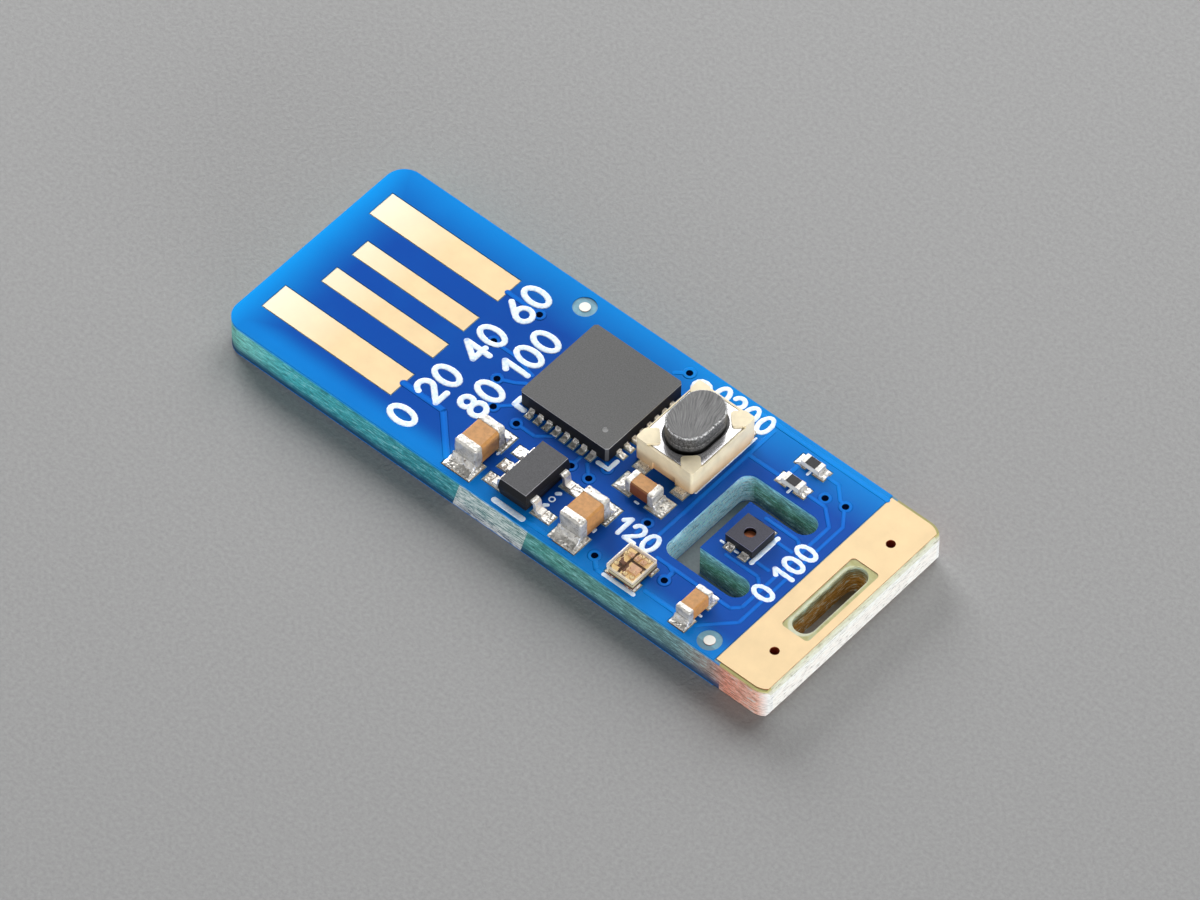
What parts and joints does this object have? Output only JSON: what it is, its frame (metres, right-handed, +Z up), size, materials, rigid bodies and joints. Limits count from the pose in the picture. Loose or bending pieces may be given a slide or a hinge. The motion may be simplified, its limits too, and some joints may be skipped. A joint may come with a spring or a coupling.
{
  "type": "temperature humidity sensor module",
  "caption": "Stick-shaped sensor board with flat plug contacts, a sensor on a slotted tongue, a reset button, a status light and a gold touch pad.",
  "frame": {"origin": "centre of the bounding box, on the underside of the board", "axes": "+X along the board from the plug tip to the touch pad, +Y across it, +Z up through the components"},
  "size_m": [0.0312, 0.0118, 0.0042],
  "materials": {
    "black_led_substrate": "moulded",
    "black_moulding_compound": "fine matt",
    "black_resistor_film": "glazed",
    "blue_solder_mask": "glossy lacquer",
    "clear_resin": "clear",
    "copper_sensor_chip": "bright",
    "dark_grey_nylon": "scuffed",
    "glass_fibre_laminate": "sawn edge",
    "gold_plating": "satin",
    "grey_moulding_compound": "fine matt",
    "ivory_nylon": "moulded",
    "led_chip": "bare chip",
    "led_lead_frame": "satin",
    "orange_ceramic": "fired",
    "pale_plating": "satin",
    "purple_black_compound": "fine matt",
    "satin_steel_cover": "satin",
    "solder": "bright, uneven",
    "spring_steel": "bright",
    "tan_ceramic": "fired",
    "tinned_copper": "tinned",
    "tinned_end_cap": "tinned",
    "white_alumina": "fired"
  },
  "bodies": {
    "board": {"alignment_marks": "pale_plating", "button_base": "ivory_nylon", "button_contacts": "tinned_copper", "button_cover": "satin_steel_cover", "button_dome": "spring_steel", "button_solder": "solder", "bypass_capacitor_body": "tan_ceramic", "bypass_capacitor_ends": "tinned_end_cap", "capacitor_solder": "solder", "circuit_board": "glass_fibre_laminate", "clock_pullup_resistor_body": "white_alumina", "clock_pullup_resistor_ends": "tinned_end_cap", "clock_pullup_resistor_film": "black_resistor_film", "component_lands": "gold_plating", "data_pullup_resistor_body": "white_alumina", "data_pullup_resistor_ends": "tinned_end_cap", "data_pullup_resistor_film": "black_resistor_film", "filter_capacitor_body": "tan_ceramic", "filter_capacitor_ends": "tinned_end_cap", "input_capacitor_body": "orange_ceramic", "input_capacitor_ends": "tinned_end_cap", "microcontroller_package": "grey_moulding_compound", "microcontroller_solder": "solder", "microcontroller_terminals": "tinned_copper", "microcontroller_thermal_pad": "tinned_copper", "output_capacitor_body": "orange_ceramic", "output_capacitor_ends": "tinned_end_cap", "plug_contact_data_minus": "gold_plating", "plug_contact_data_plus": "gold_plating", "plug_contact_ground": "gold_plating", "plug_contact_power": "gold_plating", "regulator_leads": "tinned_copper", "regulator_package": "black_moulding_compound", "regulator_solder": "solder", "resistor_solder": "solder", "sensor_element": "copper_sensor_chip", "sensor_package": "purple_black_compound", "sensor_solder": "solder", "sensor_terminals": "tinned_copper", "solder_mask_bottom": "blue_solder_mask", "solder_mask_top": "blue_solder_mask", "status_led_base": "black_led_substrate", "status_led_chips": "led_chip", "status_led_frame": "led_lead_frame", "status_led_pads": "gold_plating", "status_led_resin": "clear_resin", "status_led_solder": "solder", "touch_pad": "gold_plating"},
    "plunger": {"button_plunger": "dark_grey_nylon"}
  },
  "joints": [
    {"name": "reset_press", "type": "slide", "parent": "board", "child": "plunger", "axis": [0, 0, -1], "range_m": [0, 0.00025], "stiffness_N_per_m": 6400, "springref_m": -0.00003, "deforming": ["button_dome"]}
  ]
}
